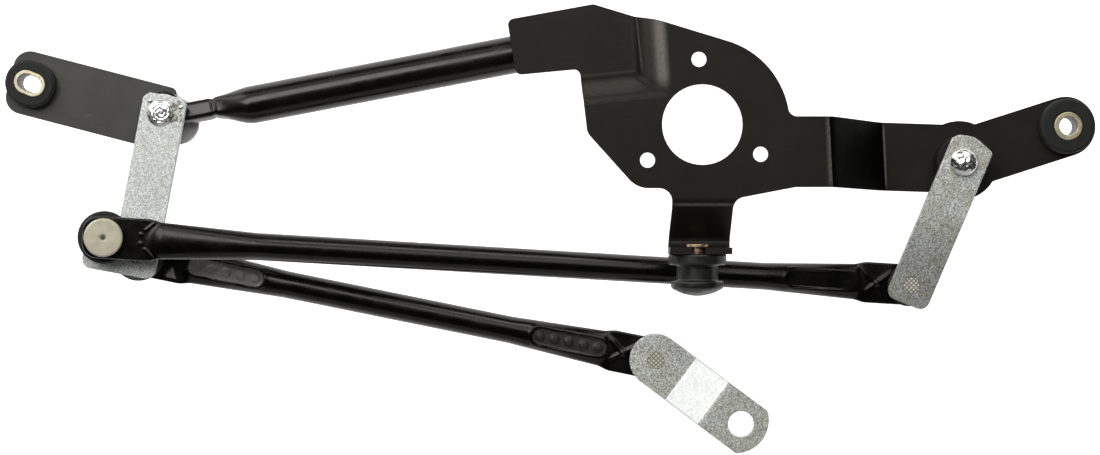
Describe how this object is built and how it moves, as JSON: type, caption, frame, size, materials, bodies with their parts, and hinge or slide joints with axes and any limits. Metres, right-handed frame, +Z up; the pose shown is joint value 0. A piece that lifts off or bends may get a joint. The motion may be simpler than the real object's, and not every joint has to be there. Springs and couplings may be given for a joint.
{
  "type": "windscreen wiper linkage",
  "caption": "Windscreen wiper linkage: stamped motor bracket, frame tube, pivots, swinging levers, ball-jointed rods and a loose motor crank.",
  "frame": {"origin": "motor axis on the front face of the motor plate", "axes": "+X along the frame to the right pivot, +Y across it away from the locator, +Z up from the motor plate, away from the motor"},
  "size_m": [0.5168, 0.2089, 0.124],
  "materials": {
    "bracket_coat": "satin black electrocoat with fine scuffs",
    "plate_coat": "worn satin black electrocoat",
    "tube_coat": "semi-gloss black paint",
    "zinc": "speckled zinc plating",
    "plain_steel": "bright steel",
    "casting": "bare die casting",
    "socket_plastic": "moulded beige plastic",
    "black_rubber": "matte rubber",
    "yellow_zinc": "yellow chromate on zinc",
    "bronze": "sintered bronze"
  },
  "bodies": {
    "frame": {"mounting_bracket": "bracket_coat", "frame_tube": "tube_coat", "left_plate": "plate_coat", "tube_welds": "bracket_coat", "left_pivot_housing": "casting", "left_bushes": "bronze", "left_thrust_washer": "plain_steel", "right_pivot_housing": "bracket_coat", "right_bushes": "bronze", "right_thrust_washer": "plain_steel", "left_grommet": "black_rubber", "left_sleeve": "yellow_zinc", "right_grommet": "black_rubber", "right_sleeve": "yellow_zinc", "locator_stud": "yellow_zinc", "locator_grommet": "black_rubber"},
    "left_lever": {"left_lever": "zinc", "left_pivot_shaft": "zinc", "left_circlip": "plain_steel", "front_ball_stud": "zinc", "rear_ball_stud": "zinc"},
    "right_lever": {"right_lever": "zinc", "right_pivot_shaft": "zinc", "right_circlip": "plain_steel", "right_ball_stud": "zinc"},
    "long_rod": {"long_rod": "tube_coat", "long_rod_left_socket": "socket_plastic", "long_rod_left_boot": "black_rubber", "long_rod_right_socket": "socket_plastic", "long_rod_right_boot": "black_rubber"},
    "short_rod": {"short_rod": "tube_coat", "short_rod_left_socket": "socket_plastic", "short_rod_left_boot": "black_rubber", "short_rod_right_socket": "socket_plastic", "short_rod_right_boot": "black_rubber"},
    "crank": {"motor_crank": "zinc", "crank_ball_stud": "zinc"}
  },
  "joints": [
    {"name": "left_pivot", "type": "hinge", "parent": "frame", "child": "left_lever", "pos_m": [-0.2507, 0.0061, -0.017], "axis": [0, 0, 1], "range_deg": [-32, 48]},
    {"name": "right_pivot", "type": "hinge", "parent": "frame", "child": "right_lever", "pos_m": [0.1249, -0.0165, -0.033], "axis": [0, 0, 1], "range_deg": [-32, 48]},
    {"name": "long_rod_ball", "type": "hinge", "parent": "left_lever", "child": "long_rod", "pos_m": [-0.27542, -0.05185, -0.005], "axis": [0, 0, 1], "range_deg": [-48, 32]},
    {"name": "short_rod_ball", "type": "hinge", "parent": "left_lever", "child": "short_rod", "pos_m": [-0.26272, -0.06002, -0.03], "axis": [0, 0, 1], "range_deg": [-48, 32]},
    {"name": "crank_ball", "type": "hinge", "parent": "short_rod", "child": "crank", "pos_m": [-0.0204, -0.1094, -0.037], "axis": [0, 0, 1], "range_deg": [-120, 35]}
  ],
  "couplings": [
    {"joint": "right_pivot", "follows": "left_pivot", "ratio": 1},
    {"joint": "long_rod_ball", "follows": "left_pivot", "ratio": -1},
    {"joint": "short_rod_ball", "follows": "left_pivot", "ratio": -1}
  ]
}
